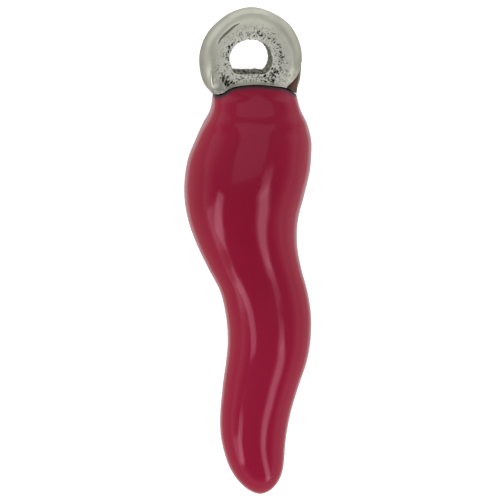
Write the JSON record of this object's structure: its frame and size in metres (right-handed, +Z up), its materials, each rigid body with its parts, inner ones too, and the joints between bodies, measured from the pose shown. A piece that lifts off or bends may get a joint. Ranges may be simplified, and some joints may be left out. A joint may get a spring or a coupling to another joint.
{
  "type": "resin chili pepper pendant",
  "caption": "Glossy dark red resin chili pepper that sways down to a blunt tip, glued to a thick cast loop of antiqued silver-tone metal with a D-shaped hole.",
  "frame": {"origin": "centre of the bounding box, on the surface that the pendant lies on", "axes": "+Z up, out of the front face; +Y from the pepper's tip to the loop; +X to the right of the front face"},
  "size_m": [0.0104, 0.0402, 0.0095],
  "materials": {
    "resin": "dark red cast resin, polished to a wet gloss",
    "antiqued_metal": "antiqued silver-tone zinc alloy casting, worn smooth, with dark pits and crevices"
  },
  "bodies": {
    "root": {"pepper": "resin", "loop": "antiqued_metal"}
  },
  "joints": []
}
